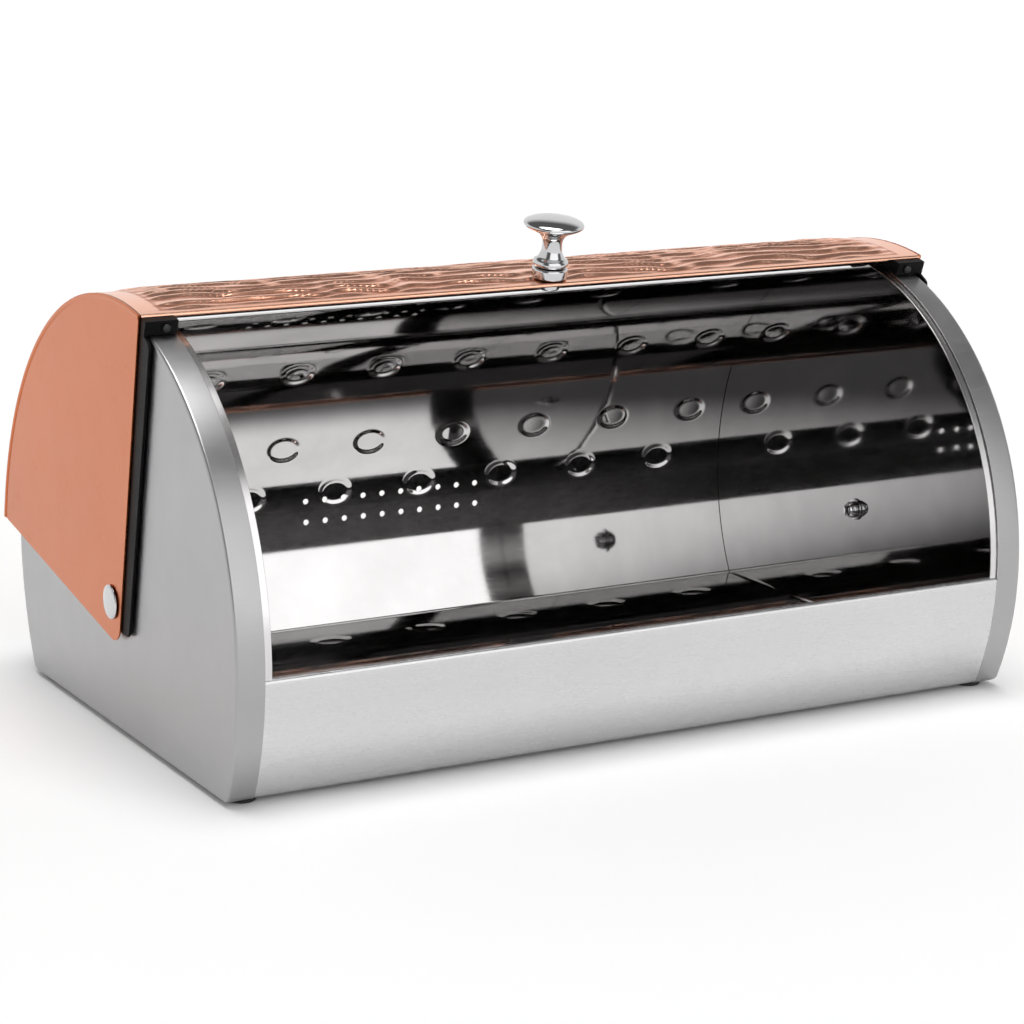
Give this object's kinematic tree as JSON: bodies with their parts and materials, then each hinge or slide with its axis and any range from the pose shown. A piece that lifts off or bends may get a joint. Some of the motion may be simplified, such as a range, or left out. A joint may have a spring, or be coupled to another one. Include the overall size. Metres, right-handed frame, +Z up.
{
  "type": "bread box",
  "caption": "Drum-shaped steel bread box with flat ends, a curved copper lid that rolls back over the top about two end pivots, a turned knob and a row of rear vents.",
  "frame": {"origin": "centre of the whole object's footprint, lid open, on the surface that the feet stand on", "axes": "+X along the box (its longest side), -Y the open front, +Z up"},
  "size_m": [0.4112, 0.2798, 0.2291],
  "materials": {
    "satin_steel": "satin stainless steel",
    "mirror_steel": "mirror-polished stainless steel",
    "copper": "satin copper plating on steel, hammered on the curved sheet",
    "chrome": "bright plated",
    "black_plastic": "moulded black",
    "nylon": "natural",
    "rubber": "matt black"
  },
  "bodies": {
    "body": {"back_panel": "mirror_steel", "front_panel": "satin_steel", "floor_panel": "mirror_steel", "end_cap_left": "satin_steel", "end_cap_right": "satin_steel", "opening_trim_left": "mirror_steel", "opening_trim_right": "mirror_steel", "foot_front_left": "rubber", "foot_front_right": "rubber", "foot_rear_left": "rubber", "foot_rear_right": "rubber", "pivot_pin_left": "chrome", "pivot_bush_left": "nylon", "pivot_washer_left": "chrome", "pivot_nut_left": "chrome", "pivot_pin_right": "chrome", "pivot_bush_right": "nylon", "pivot_washer_right": "chrome", "pivot_nut_right": "chrome"},
    "lid": {"lid_sheet": "copper", "knob": "chrome", "knob_collar": "chrome", "knob_screw": "chrome", "lid_side_left": "copper", "lid_liner_left": "black_plastic", "shoe_screw_left": "chrome", "lid_side_right": "copper", "lid_liner_right": "black_plastic", "shoe_screw_right": "chrome"}
  },
  "joints": [
    {"name": "lid_hinge", "type": "hinge", "parent": "body", "child": "lid", "pos_m": [0, -0.00594, 0.063], "axis": [1, 0, 0], "range_deg": [0, 80]}
  ]
}
